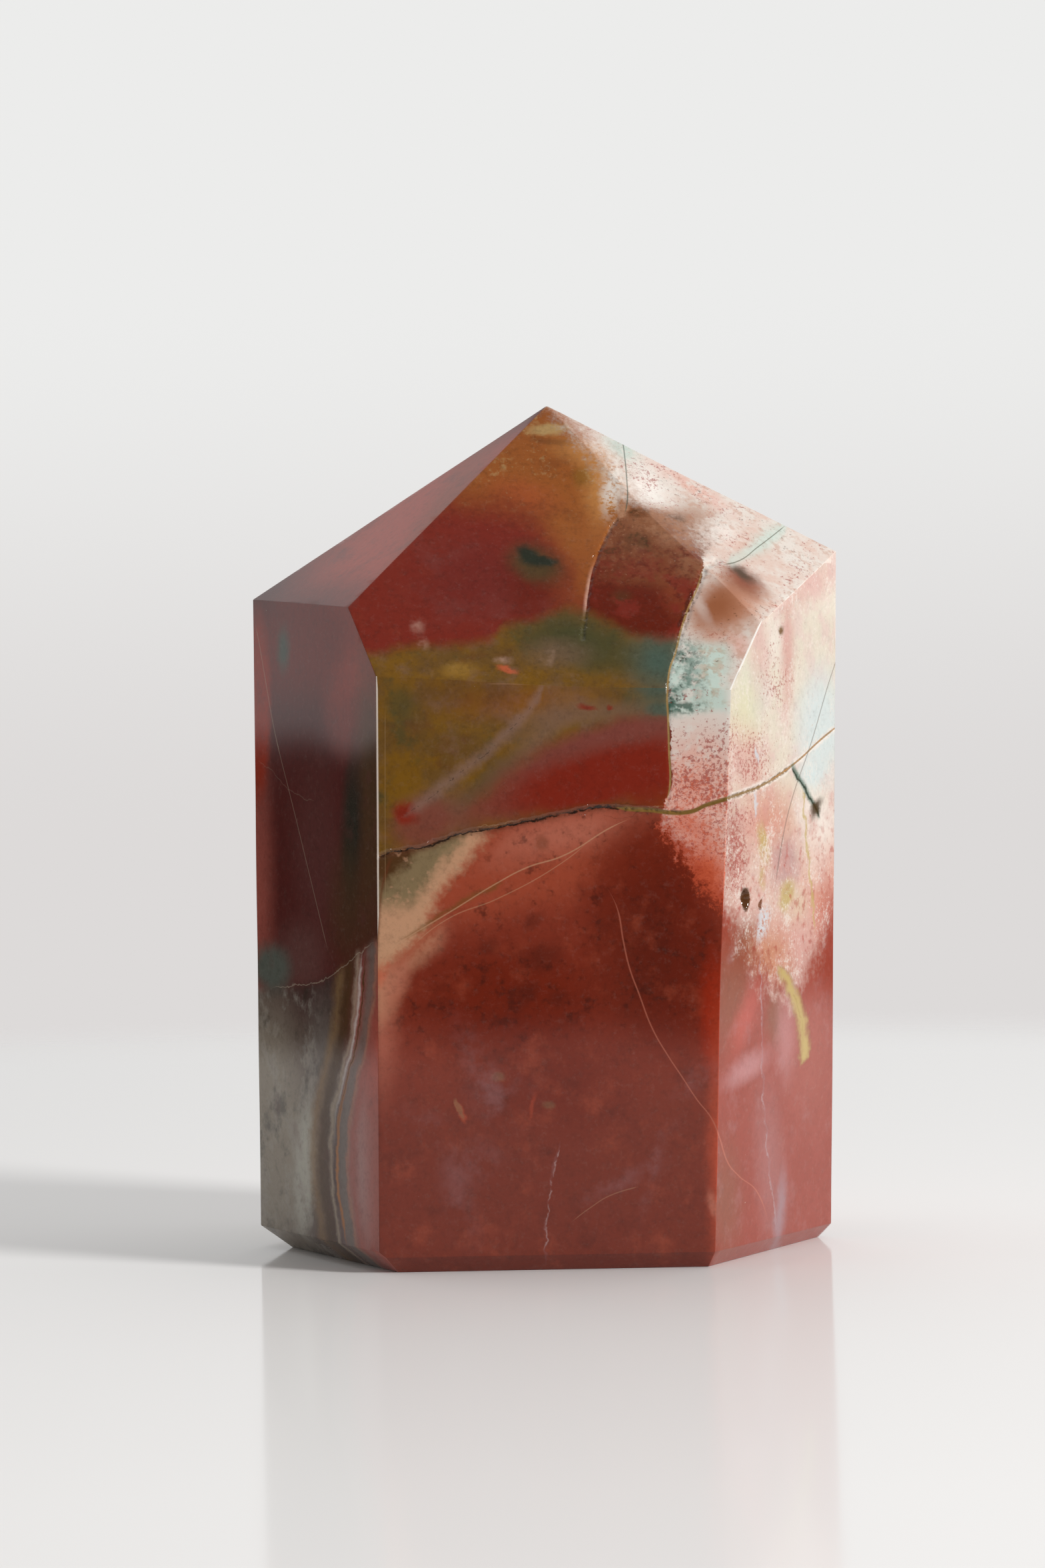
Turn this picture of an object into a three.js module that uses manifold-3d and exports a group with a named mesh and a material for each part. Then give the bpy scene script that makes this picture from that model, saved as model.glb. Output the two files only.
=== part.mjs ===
// A polished jasper tower, one piece of stone: six upright sides, six roof facets that meet in a tip,
// a narrow bevel round the flat base that it stands on, and two small natural pits in one side.
//
// Lengths are millimetres and angles are degrees. +Z is up, the base is at z = 0, and the origin is
// under the middle of the stone. The widest facet, the front, faces -Y, and +X is to its right.

import * as THREE from "three";
import { mergeVertices } from "three/addons/utils/BufferGeometryUtils.js";
import Module from "manifold-3d";

// Driving dimensions

const TOWER_HEIGHT = 80;

// The upright sides, in order round the stone. Each one faces the direction given, turned from -Y
// towards +X, and stands at its reach from the line under the tip. Lean is how far it leans outwards
// as it rises. Its bevel starts at bevelHeight and runs in by bevelDepth at the base.
const SIDES = [
  { name: "front", faces: 0, reach: 18.65, lean: 0.45, bevelHeight: 1.5, bevelDepth: 1.2 },
  { name: "right", faces: 56.7, reach: 21.5, lean: 2.2, bevelHeight: 1.3, bevelDepth: 1.1 },
  { name: "back right", faces: 121, reach: 23.15, lean: -0.5, bevelHeight: 1.4, bevelDepth: 1.2 },
  { name: "back", faces: 178, reach: 18.9, lean: -0.3, bevelHeight: 1.6, bevelDepth: 1.4 },
  { name: "back left", faces: -118, reach: 26.3, lean: -0.3, bevelHeight: 2.2, bevelDepth: 3.6 },
  { name: "left", faces: -60.7, reach: 23.95, lean: -0.2, bevelHeight: 2, bevelDepth: 2.1 },
];

// The roof facets, which all pass through the tip. Pitch is the slope down from level.
const ROOF_FACETS = [
  { name: "front", faces: 2.2, pitch: 54.5 },
  { name: "right", faces: 28.5, pitch: 44.5 },
  { name: "back right", faces: 125, pitch: 33.7 },
  { name: "back", faces: 181, pitch: 47 },
  { name: "back left", faces: -122, pitch: 35.2 },
  { name: "left", faces: -55.5, pitch: 39.1 },
];

// The pits in the right side: along is level, from the line down the side's middle towards the back,
// and up is the height above the base.
const PITS = [
  { along: -4, up: 33.4, width: 1.6, height: 1.8, depth: 0.6 },
  { along: -1.1, up: 32.6, width: 1, height: 0.9, depth: 0.35 },
];

// The rough block, and the waste that each cut takes off it
const BLOCK_WIDTH = 70;
const WASTE_SIZE = 200;

const PIT_SEGMENTS = 14;
const PIT_RINGS = 9;

// The library that joins and cuts solids

const wasm = await Module();
wasm.setup();
const { Manifold, Mesh } = wasm;

function toSolid(geometry) {
  const bare = geometry.clone();
  bare.deleteAttribute("normal");
  bare.deleteAttribute("uv");
  const merged = mergeVertices(bare);
  return new Manifold(new Mesh({
    numProp: 3,
    vertProperties: new Float32Array(merged.attributes.position.array),
    triVerts: new Uint32Array(merged.index.array),
  }));
}

function toGeometry(solid) {
  const mesh = solid.getMesh();
  const geometry = new THREE.BufferGeometry();
  geometry.setAttribute("position", new THREE.BufferAttribute(new Float32Array(mesh.vertProperties), 3));
  geometry.setIndex(new THREE.BufferAttribute(new Uint32Array(mesh.triVerts), 1));
  geometry.computeVertexNormals();
  return geometry;
}

// Directions

const radians = THREE.MathUtils.degToRad;

// The level direction that a facet faces, turned from -Y towards +X.
function outward(faces) {
  const angle = radians(faces);
  return new THREE.Vector3(Math.sin(angle), -Math.cos(angle), 0);
}

const UP = new THREE.Vector3(0, 0, 1);

// Facets

// Grinds one flat facet: everything beyond the plane through the point, on the normal's side, goes.
function grind(stone, point, normal) {
  const waste = new THREE.BoxGeometry(WASTE_SIZE, WASTE_SIZE, WASTE_SIZE);
  waste.translate(0, 0, WASTE_SIZE / 2);
  waste.applyQuaternion(new THREE.Quaternion().setFromUnitVectors(UP, normal));
  waste.translate(point.x, point.y, point.z);
  return stone.subtract(toSolid(waste));
}

function grindSide(stone, side) {
  const lean = radians(side.lean);
  const normal = outward(side.faces).multiplyScalar(Math.cos(lean)).addScaledVector(UP, -Math.sin(lean));
  const foot = outward(side.faces).multiplyScalar(side.reach);
  return grind(stone, foot, normal);
}

function grindRoof(stone, facet) {
  const pitch = radians(facet.pitch);
  const normal = outward(facet.faces).multiplyScalar(Math.sin(pitch)).addScaledVector(UP, Math.cos(pitch));
  const tip = new THREE.Vector3(0, 0, TOWER_HEIGHT);
  return grind(stone, tip, normal);
}

function grindBevel(stone, side) {
  const reachAtTop = side.reach + side.bevelHeight * Math.tan(radians(side.lean));
  const runIn = reachAtTop - (side.reach - side.bevelDepth);
  const normal = outward(side.faces).multiplyScalar(side.bevelHeight).addScaledVector(UP, -runIn).normalize();
  const baseLine = outward(side.faces).multiplyScalar(side.reach - side.bevelDepth);
  return grind(stone, baseLine, normal);
}

// Pits

// An egg-shaped hollow whose middle lies on the side's face.
function pitHollow(side, pit) {
  const level = outward(side.faces + 90);
  const reachAtPit = side.reach + pit.up * Math.tan(radians(side.lean));
  const centre = outward(side.faces).multiplyScalar(reachAtPit).addScaledVector(level, pit.along);
  const hollow = new THREE.SphereGeometry(1, PIT_SEGMENTS, PIT_RINGS);
  hollow.scale(pit.width / 2, pit.depth, pit.height / 2);
  hollow.rotateZ(radians(side.faces));
  hollow.translate(centre.x, centre.y, pit.up);
  return toSolid(hollow);
}

// The stone

function cutTower() {
  const block = new THREE.BoxGeometry(BLOCK_WIDTH, BLOCK_WIDTH, TOWER_HEIGHT);
  block.translate(0, 0, TOWER_HEIGHT / 2);
  let stone = toSolid(block);
  for (const side of SIDES) {
    stone = grindSide(stone, side);
  }
  for (const facet of ROOF_FACETS) {
    stone = grindRoof(stone, facet);
  }
  for (const side of SIDES) {
    stone = grindBevel(stone, side);
  }
  const right = SIDES.find((side) => side.name === "right");
  for (const pit of PITS) {
    stone = stone.subtract(pitHollow(right, pit));
  }
  return toGeometry(stone);
}

// Moves the stone so that the origin is under the middle of its box.
function centre(geometry) {
  geometry.computeBoundingBox();
  const middle = geometry.boundingBox.getCenter(new THREE.Vector3());
  return geometry.translate(-middle.x, -middle.y, 0);
}

const jasper = new THREE.MeshStandardMaterial({
  color: 0x8e4034,
  roughness: 0.14,
  metalness: 0,
  flatShading: true,
});

const tower = new THREE.Mesh(centre(cutTower()), jasper);
tower.name = "tower";

const group = new THREE.Group();
group.add(tower);

export default group;
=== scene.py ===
"""A polished jasper tower on a pale glossy table in soft studio light: its look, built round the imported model."""

import math

import bmesh
import bpy
from mathutils import Euler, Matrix, Vector, kdtree, noise


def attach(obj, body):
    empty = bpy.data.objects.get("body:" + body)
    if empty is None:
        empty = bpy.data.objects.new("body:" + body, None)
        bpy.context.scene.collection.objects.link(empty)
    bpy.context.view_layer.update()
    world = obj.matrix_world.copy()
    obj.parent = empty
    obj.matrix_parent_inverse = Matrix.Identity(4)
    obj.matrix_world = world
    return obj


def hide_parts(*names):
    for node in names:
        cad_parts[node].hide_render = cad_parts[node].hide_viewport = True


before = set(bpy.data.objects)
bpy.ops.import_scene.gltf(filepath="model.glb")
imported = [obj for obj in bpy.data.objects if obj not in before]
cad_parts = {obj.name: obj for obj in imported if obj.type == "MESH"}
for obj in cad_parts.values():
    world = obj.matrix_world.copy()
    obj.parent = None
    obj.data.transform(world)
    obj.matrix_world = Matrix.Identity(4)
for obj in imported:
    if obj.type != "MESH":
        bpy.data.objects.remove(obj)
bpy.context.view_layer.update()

MM = 0.001


# The table and the pale backdrop
# A glossy white sheet lies under the stone and fades, far behind it, into an even pale backdrop.
# Neither is part of the stone.

TABLE_RADIUS = 300 * MM
TABLE_FADE = 90 * MM


class Field:
    """One socket of a node tree. Sums and products of fields add Math nodes."""

    def __init__(self, tree, socket=None):
        self.tree = tree
        self.socket = socket

    def node(self, kind, settings=None, inputs=None, output=0):
        """Adds a node, sets it up, fills its sockets, and gives one of its outputs."""
        made = self.tree.nodes.new(kind)
        for name, value in (settings or {}).items():
            if name == "points":
                curve = made.mapping.curves[0]
                while len(curve.points) < len(value):
                    curve.points.new(0.5, 0.5)
                for point, place in zip(curve.points, value):
                    point.location = place
                made.mapping.update()
            else:
                setattr(made, name, value)
        for name, value in (inputs or {}).items():
            if isinstance(value, Field):
                self.tree.links.new(value.socket, made.inputs[name])
            else:
                made.inputs[name].default_value = value
        return Field(self.tree, made.outputs[output]) if made.outputs else None

    def math(self, operation, *values):
        return self.node("ShaderNodeMath", {"operation": operation}, dict(enumerate(values)))

    def __add__(self, other):
        return self.math("ADD", self, other)

    def __sub__(self, other):
        return self.math("SUBTRACT", self, other)

    def __mul__(self, other):
        return self.math("MULTIPLY", self, other)

    def __truediv__(self, other):
        return self.math("DIVIDE", self, other)

    def __rsub__(self, other):
        return self.math("SUBTRACT", other, self)

    __radd__ = __add__
    __rmul__ = __mul__

    def __abs__(self):
        return self.math("ABSOLUTE", self)

    def also(self, output):
        """Another output of the same node."""
        return Field(self.tree, self.socket.node.outputs[output])

    def ease(self, low, high, top=1.0):
        """0 at low, the top value at high, smooth between."""
        return self.node(
            "ShaderNodeMapRange",
            {"interpolation_type": "SMOOTHSTEP"},
            {"Value": self, "From Min": low, "From Max": high, "To Max": top},
        )


def colour(red, green, blue):
    """A screen colour, 0 to 255, as the renderer's linear colour."""
    return tuple(((c / 255 + 0.055) / 1.055) ** 2.4 if c > 10 else c / 3295 for c in (red, green, blue)) + (1,)


def blend(base, over, amount):
    """One colour over another, by amount."""
    field = next(value for value in (amount, base, over) if isinstance(value, Field))
    return field.node("ShaderNodeMix", {"data_type": "RGBA"}, {"Factor": amount, 6: base, 7: over}, output=2)


def new_material(name):
    material = bpy.data.materials.new(name)
    material.use_nodes = True
    material.node_tree.nodes.clear()
    return material, Field(material.node_tree)


def table_material():
    material, field = new_material("table_white")
    place = field.node("ShaderNodeTexCoord", output="Object")
    radius = place.node("ShaderNodeVectorMath", {"operation": "LENGTH"}, {0: place}, output="Value")
    sheet = field.node(
        "ShaderNodeBsdfPrincipled",
        inputs={"Base Color": colour(240, 238, 236), "Roughness": 0.1, "IOR": 1.1},
    )
    beyond = field.node("ShaderNodeBsdfTransparent")
    fade = radius.ease(TABLE_RADIUS - TABLE_FADE, TABLE_RADIUS)
    surface = field.node("ShaderNodeMixShader", inputs={0: fade, 1: sheet, 2: beyond})
    field.node("ShaderNodeOutputMaterial", inputs={"Surface": surface})
    return material


def build_table():
    bm = bmesh.new()
    bmesh.ops.create_circle(bm, cap_ends=True, segments=96, radius=TABLE_RADIUS)
    mesh = bpy.data.meshes.new("table")
    bm.to_mesh(mesh)
    bm.free()
    mesh.materials.append(table_material())
    table = bpy.data.objects.new("table", mesh)
    bpy.context.scene.collection.objects.link(table)


build_table()


# The studio light
# A soft key light low on the right lights the right side and the roof, and a tall pale screen on the
# left, behind the stone, gives the left side its veil. The rest of the studio is dim.

DARK_FRONT = 0.12
PALE_WALL = 0.85
PALE_SCREEN = 0.82
DARK_BELOW = 0.04
BACKDROP_LOW = colour(221, 218, 217)
BACKDROP_HIGH = colour(236, 236, 235)
KEY_TOWARDS = Vector((0.783, -0.47, 0.407))
KEY_DISTANCE = 0.9
KEY_SIZE = 0.2
KEY_POWER = 8.0


def light_studio():
    world = bpy.data.worlds.new("studio")
    world.use_nodes = True
    world.node_tree.nodes.clear()
    bpy.context.scene.world = world
    field = Field(world.node_tree)
    direction = field.node("ShaderNodeTexCoord", output="Generated")
    along_x = field.node("ShaderNodeSeparateXYZ", inputs={"Vector": direction})
    along_y, height = along_x.also("Y"), along_x.also("Z")
    wall = PALE_WALL + along_x.ease(0.1, -0.25) * (PALE_SCREEN - PALE_WALL)
    behind = along_y.ease(-0.35, 0.05)
    glow = DARK_FRONT + behind * (wall - DARK_FRONT)
    glow = glow * height.ease(-0.003, 0.006) * (1 - height.ease(0.2, 0.5, 0.14)) + DARK_BELOW
    unseen = field.node("ShaderNodeBackground", inputs={"Color": (1, 1, 1, 1), "Strength": glow})
    backdrop = field.node(
        "ShaderNodeBackground",
        inputs={"Color": blend(BACKDROP_LOW, BACKDROP_HIGH, height.ease(-0.03, 0.12)), "Strength": 1.0},
    )
    seen = field.node("ShaderNodeLightPath", output="Is Camera Ray")
    surface = field.node("ShaderNodeMixShader", inputs={0: seen, 1: unseen, 2: backdrop})
    field.node("ShaderNodeOutputWorld", inputs={"Surface": surface})

    key = bpy.data.lights.new("key", "AREA")
    key.shape = "DISK"
    key.size = KEY_SIZE
    key.energy = KEY_POWER
    lamp = bpy.data.objects.new("key", key)
    lamp.location = KEY_TOWARDS * KEY_DISTANCE
    lamp.rotation_mode = "QUATERNION"
    lamp.rotation_quaternion = KEY_TOWARDS.to_track_quat("Z", "Y")
    lamp.visible_camera = False
    bpy.context.scene.collection.objects.link(lamp)


light_studio()


# The camera
# It stands level with the upper half of the stone, a little left of it, and turned slightly right.

PHOTO_HEIGHT = 2352
FOCAL_PIXELS = 5600
SENSOR = 36
CAMERA_FROM_TIP = Vector((-14.37, -355.93, -31.07)) * MM
CAMERA_PITCH = 0.014
CAMERA_YAW = 0.0325
CAMERA_ROLL = -0.014


def find_tip(node):
    return max((vertex.co for vertex in node.data.vertices), key=lambda place: place.z).copy()


def place_camera(tip):
    lens = bpy.data.cameras.new("camera")
    lens.sensor_width = SENSOR
    lens.lens = FOCAL_PIXELS * SENSOR / PHOTO_HEIGHT
    lens.clip_start = 0.01
    lens.clip_end = 50
    level = math.cos(CAMERA_PITCH)
    ahead = Vector((math.sin(CAMERA_YAW) * level, math.cos(CAMERA_YAW) * level, -math.sin(CAMERA_PITCH)))
    across = Vector((math.cos(CAMERA_YAW), -math.sin(CAMERA_YAW), 0))
    upward = across.cross(ahead)
    right = across * math.cos(CAMERA_ROLL) + upward * math.sin(CAMERA_ROLL)
    up = right.cross(ahead)
    camera = bpy.data.objects.new("camera", lens)
    bpy.context.scene.collection.objects.link(camera)
    matrix = camera.matrix_world.copy()
    for column, axis in enumerate((right, up, -ahead)):
        for row in range(3):
            matrix[row][column] = axis[row]
    matrix.translation = tip + CAMERA_FROM_TIP
    camera.matrix_world = matrix
    bpy.context.scene.camera = camera


TIP = find_tip(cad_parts["tower"])
place_camera(TIP)
bpy.context.scene.view_settings.view_transform = "Standard"


# The stone's shape
# One piece of jasper, sawn and ground to six sides and six roof facets, then polished. The polish has
# rounded its edges a little, and old cracks, a chipped step and two small pits stay open in its skin.

EDGE_ROUNDING = 0.07 * MM
CORNER_MERGE = 0.7 * MM
RAGGED = 0.11 * MM
SLICE = 1.5 * MM
POLISH_WAVE = 0.035 * MM
POLISH_WAVE_LENGTH = 11 * MM

# Places are millimetres from the line under the tip: across to the right and up, seen from the front.
MAIN_CRACK = (
    (-18, 37.4), (-16.3, 37.9), (-15.3, 38.2), (-12.5, 38.6), (-10, 39.5), (-8, 40), (-6, 40.2), (-4.2, 40.6), (-2.3, 41),
    (0, 41.4), (2.5, 41.9), (4.6, 42), (6.4, 41.8), (8, 41.7), (10.9, 41.4), (13.3, 42.1), (16.5, 43),
    (18.3, 43.5), (20.5, 44.5), (23, 46), (25, 47.5), (26.8, 48.7), (28.6, 49.8),
)
GOLD_VEIN = (
    (9.4, 41.6), (9.7, 42.8), (9.95, 44), (9.9, 47), (9.85, 50), (9.8, 52), (10.1, 54.2), (10.8, 56),
    (11.4, 58), (12.2, 60), (13.2, 62), (14, 64), (15.5, 64.7),
)
STEP = (
    (2.3, 57.4), (2.6, 58.8), (2.9, 60.6), (3.2, 62.2), (3.5, 63.5), (4, 64.8), (4.4, 65.8), (5, 67), (5.5, 68),
    (6.2, 68.9),
)
HEALED_CRACK = (
    (19.4, 2), (18.1, 5.9), (16, 8), (14.9, 9.4), (14, 12), (13.4, 13.5), (12, 15.4), (10.6, 17.6), (9.5, 19.3), (8, 22),
    (6.9, 25), (6, 27.6), (5.5, 30), (5.1, 32.5), (4.4, 34.2), (3.5, 35.5),
)


def ground_block(node):
    """The stone with its flat facets alone: the hull of the model's corners, without the pits."""
    bm = bmesh.new()
    for vertex in node.data.vertices:
        bm.verts.new(vertex.co)
    bmesh.ops.remove_doubles(bm, verts=bm.verts, dist=0.005 * MM)
    hull = bmesh.ops.convex_hull(bm, input=bm.verts)
    inside = [part for part in hull["geom_interior"] if isinstance(part, bmesh.types.BMVert)]
    bmesh.ops.delete(bm, geom=inside, context="VERTS")
    bmesh.ops.dissolve_limit(bm, angle_limit=math.radians(0.6), verts=bm.verts, edges=bm.edges)
    bmesh.ops.recalc_face_normals(bm, faces=bm.faces)
    return bm


def facet_planes(bm):
    """Each facet's outward normal and its distance along it, in millimetres from the line under the tip."""
    axis = Vector((TIP.x, TIP.y, 0))
    return [(face.normal.copy(), face.normal.dot(face.verts[0].co - axis) / MM) for face in bm.faces]


def on_front(across, up):
    """The place on the skin that shows at this spot from the front."""
    reached = (
        (reach - normal.x * across - normal.z * up) / normal.y for normal, reach in PLANES if normal.y < -0.01
    )
    return Vector((across, max(reached), up))


def on_left(back, up):
    """The place on the skin that shows at this spot from the left."""
    reached = ((reach - normal.y * back - normal.z * up) / normal.x for normal, reach in PLANES if normal.x < -0.01)
    return Vector((max(reached), back, up))


def on_back(across, up):
    """The place on the skin that shows at this spot from behind."""
    reached = ((reach - normal.x * across - normal.z * up) / normal.y for normal, reach in PLANES if normal.y > 0.01)
    return Vector((across, min(reached), up))


def in_scene(place):
    """A place in millimetres from the line under the tip, as the scene's own."""
    return Vector((TIP.x, TIP.y, 0)) + place * MM


def walk(path, stride=0.1):
    """Places on the skin along a drawn line, a stride apart."""
    for (x0, z0), (x1, z1) in zip(path, path[1:]):
        steps = max(1, round(math.hypot(x1 - x0, z1 - z0) / stride))
        for step in range(steps):
            share = step / steps
            yield in_scene(on_front(x0 + (x1 - x0) * share, z0 + (z1 - z0) * share))


# Each mark in the skin: its path, half its width, how deep it is and how rough.
MARKS = (
    (MAIN_CRACK[1:15], 0.14, 0.18, 0.8),
    (MAIN_CRACK[14:], 0.14, 0.1, 0.5),
    (GOLD_VEIN[:8], 0.1, 0.07, 0.5),
    (GOLD_VEIN[7:], 0.25, 0.12, 1.0),
    (STEP, 0.14, 0.1, 0.8),
    (((3.6, 76.6), (5.3, 75), (6.4, 73.6), (6.9, 72.2), (7, 70.6)), 0.6, -0.04, 1.2),
    (((1.2, 79), (3.6, 76.8)), 0.5, -0.02, 1.2),
)
PITS = (((16.95, 33.4), 0.46, 1.05, 0.65), ((18.6, 32.6), 0.26, 0.46, 0.4))


def mark_tree():
    tree = kdtree.KDTree(sum(1 for mark in MARKS for _ in walk(mark[0])))
    kinds = []
    for path, half_width, depth, rough in MARKS:
        for place in walk(path):
            tree.insert(place, len(kinds))
            kinds.append((half_width * MM, depth * MM, rough))
    tree.balance()
    return tree, kinds


def refine(bm, tree, kinds):
    """Splits the faces near the marks and the pits finely enough to hold them."""
    pits = [(in_scene(on_front(*place)), max(wide, high) * MM) for place, wide, high, _ in PITS]
    for length in (1.1 * MM, 0.6 * MM, 0.34 * MM, 0.2 * MM):
        near = []
        for edge in bm.edges:
            if edge.calc_length() < length:
                continue
            middle = (edge.verts[0].co + edge.verts[1].co) / 2
            found = (tree.find(spot) for spot in (middle, edge.verts[0].co, edge.verts[1].co))
            close = any(distance < kinds[index][0] * 1.6 + length * 0.8 for _, index, distance in found)
            if close or any((middle - place).length < reach * 1.5 + length * 0.6 for place, reach in pits):
                near.append(edge)
        bmesh.ops.subdivide_edges(bm, edges=near, cuts=1, use_grid_fill=True)
        bmesh.ops.triangulate(bm, faces=[face for face in bm.faces if len(face.verts) > 3])


def soft_push(place):
    """How the hand polish has moved the skin: worn edges, and a very slight wave."""
    push = Vector()
    for centre, reach, move in WEAR:
        away = (place - centre) / MM
        fall = sum((away[axis] / reach[axis]) ** 2 for axis in range(3))
        push += move * MM * math.exp(-fall)
    return push


def build_stone(node):
    bm = ground_block(node)
    bmesh.ops.remove_doubles(bm, verts=bm.verts, dist=CORNER_MERGE)
    bmesh.ops.bevel(
        bm, geom=bm.edges[:], offset=EDGE_ROUNDING, offset_type="OFFSET", segments=2, profile=0.5, affect="EDGES",
        clamp_overlap=True, material=-1,
    )
    for axis in range(3):
        normal = Vector([float(axis == other) for other in range(3)])
        low, high = (min(v.co[axis] for v in bm.verts), max(v.co[axis] for v in bm.verts))
        for cut in range(1, math.ceil((high - low) / SLICE)):
            bmesh.ops.bisect_plane(
                bm, geom=bm.verts[:] + bm.edges[:] + bm.faces[:], dist=0.02 * MM, plane_co=normal * (low + cut * SLICE),
                plane_no=normal,
            )
    bmesh.ops.triangulate(bm, faces=bm.faces)
    tree, kinds = mark_tree()
    refine(bm, tree, kinds)
    bm.normal_update()
    moves = []
    for vertex in bm.verts:
        place = vertex.co
        inward = 0
        _, index, distance = tree.find(place + noise.noise_vector(place / MM * 1.3) * RAGGED)
        half_width, depth, rough = kinds[index]
        if distance < half_width * 1.6:
            inside = 1 - min(1, distance / (half_width * 1.6)) ** 2
            grit = noise.noise(place / MM * 3.1) + 0.6 * noise.noise(place / MM * 7.3)
            inward += inside * (depth + rough * abs(depth) * grit)
        for centre, wide, high, deep in PITS:
            middle = in_scene(on_front(*centre))
            away = Vector(((place.x - middle.x) / wide, (place.y - middle.y) / (wide * 2), (place.z - middle.z) / high)) / MM
            ragged = away.length * (1 + 0.25 * noise.noise(place / MM * 2.3))
            if ragged < 1:
                inward += deep * MM * math.sqrt(1 - ragged**2)
        wave = POLISH_WAVE * noise.noise(place / POLISH_WAVE_LENGTH)
        moves.append(soft_push(place) - vertex.normal * (inward + wave + POLISH_WAVE))
    for vertex, move in zip(bm.verts, moves):
        if vertex.co.z > 1 * MM:
            vertex.co += move
    mesh = bpy.data.meshes.new("jasper_tower")
    bm.to_mesh(mesh)
    bm.free()
    mesh.shade_smooth()
    return mesh


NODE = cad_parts["tower"]
block = ground_block(NODE)
PLANES = facet_planes(block)
block.free()
WEAR = (
    (in_scene(Vector((-0.5, -19.1, 53.3))), (11, 4, 3), Vector((0, 0.2, -0.3))),
    (in_scene(Vector((14.5, -18.9, 26))), (3, 3, 14), Vector((-0.25, 0.15, 0))),
    (in_scene(Vector((9, -7, 69.8))), (7, 6, 6), Vector((-0.1, 0.2, -0.3))),
)

stone = bpy.data.objects.new("jasper_tower", build_stone(NODE))
bpy.context.scene.collection.objects.link(stone)
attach(stone, "root")
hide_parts("tower")
evening = stone.modifiers.new("even_normals", "WEIGHTED_NORMAL")
evening.mode = "FACE_AREA"
evening.weight = 100
evening.keep_sharp = False

# The stone's colour
# Jasper is quartz coloured all through by iron, clay and chlorite, so its fields and healed cracks are one
# solid pattern that every cut face shows. Clouds of noise bend its outlines, and behind the middle of the
# stone it drifts up and to the left, so that the back is no mirror of the front.

DRIFT_FROM = 3
DRIFT = Vector((-0.4, 0, 0.5))


def noise_cloud(where, size, detail, roughness=0.5):
    """Soft noise with blotches of about this size, in millimetres."""
    return where.node(
        "ShaderNodeTexNoise", inputs={"Vector": where, "Scale": 1 / size, "Detail": detail, "Roughness": roughness}
    )


def bend(where, cloud, amount):
    """Moves places by the cloud's colour, up to about half the amount each way."""
    red, green, blue = channels(cloud)
    sway = where.node("ShaderNodeCombineXYZ", inputs={"X": red, "Y": green, "Z": blue})
    start = where.node("ShaderNodeVectorMath", {"operation": "ADD"}, {0: where, 1: (-amount / 2,) * 3})
    return where.node(
        "ShaderNodeVectorMath", {"operation": "MULTIPLY_ADD"}, {0: sway, 1: (amount,) * 3, 2: start}
    )


def along(where, way):
    """How far a place lies along a way."""
    return where.node("ShaderNodeVectorMath", {"operation": "DOT_PRODUCT"}, {0: where, 1: way}, output="Value")


def split(where):
    return along(where, (1, 0, 0)), along(where, (0, 1, 0)), along(where, (0, 0, 1))


def channels(cloud):
    parts = cloud.node("ShaderNodeSeparateColor", inputs={"Color": cloud.also("Color")})
    return parts, parts.also("Green"), parts.also("Blue")


def drawn(way, points):
    """A line drawn through points: how far along it is, and its height there."""
    starts, ends = points[0][0], points[-1][0]
    low = min(value for _, value in points)
    span = max(value for _, value in points) - low or 1
    share = way.node("ShaderNodeMapRange", inputs={"Value": way, "From Min": starts, "From Max": ends})
    places = [((first - starts) / (ends - starts), (value - low) / span) for first, value in points]
    line = share.node("ShaderNodeFloatCurve", {"points": places}, {"Value": share})
    return share, line.math("MULTIPLY_ADD", line, span, low)


def vein(way, across, points, half_width=0.13, rim=0.11, strength=1.0):
    """A vein along a drawn line, thinning out at both ends."""
    share, line = drawn(way, points)
    width = share.math("PINGPONG", share, 0.5)
    width = width.node("ShaderNodeMapRange", inputs={"Value": width, "From Max": 0.1, "To Max": half_width})
    return (width - abs(across - line)).ease(0, rim, strength)


def patch(where, centre, size, turn, soft, strength):
    """An egg-shaped region with a soft rim."""
    turned = Euler(turn).to_matrix()
    axes = [turned.col[side] / size[side] for side in range(3)]
    start = tuple(-axis.dot(centre) for axis in axes)
    if any(turn):
        parts = dict(enumerate(along(where, tuple(axis)) for axis in axes))
        local = where.node("ShaderNodeCombineXYZ", inputs=parts)
        local = local.node("ShaderNodeVectorMath", {"operation": "ADD"}, {0: local, 1: start})
    else:
        scale = tuple(1 / length for length in size)
        local = where.node("ShaderNodeVectorMath", {"operation": "MULTIPLY_ADD"}, {0: where, 1: scale, 2: start})
    reach = local.node("ShaderNodeVectorMath", {"operation": "LENGTH"}, {0: local}, output="Value")
    return reach.ease(1 + soft, 1 - soft, strength)


def paint(skin, where, rows, onto=on_front):
    """Lays patches on a colour. A row is a tint, the place, half the width and height, the turn, the rim and
    the strength."""
    for tint, across, up, wide, high, turn, soft, strength in rows:
        deep = 1.5 * max(wide, high) + 2
        centre = onto(across, up)
        if onto is on_left:
            mask = patch(where, centre, (deep, wide, high), (math.radians(turn), 0, 0), soft, strength)
        else:
            mask = patch(where, centre, (wide, deep, high), (0, -math.radians(turn), 0), soft, strength)
        skin = blend(skin, tint, mask)
    return skin


def upright(path):
    """A drawn line's points with the height first."""
    return tuple((up, across) for across, up in path)


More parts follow.
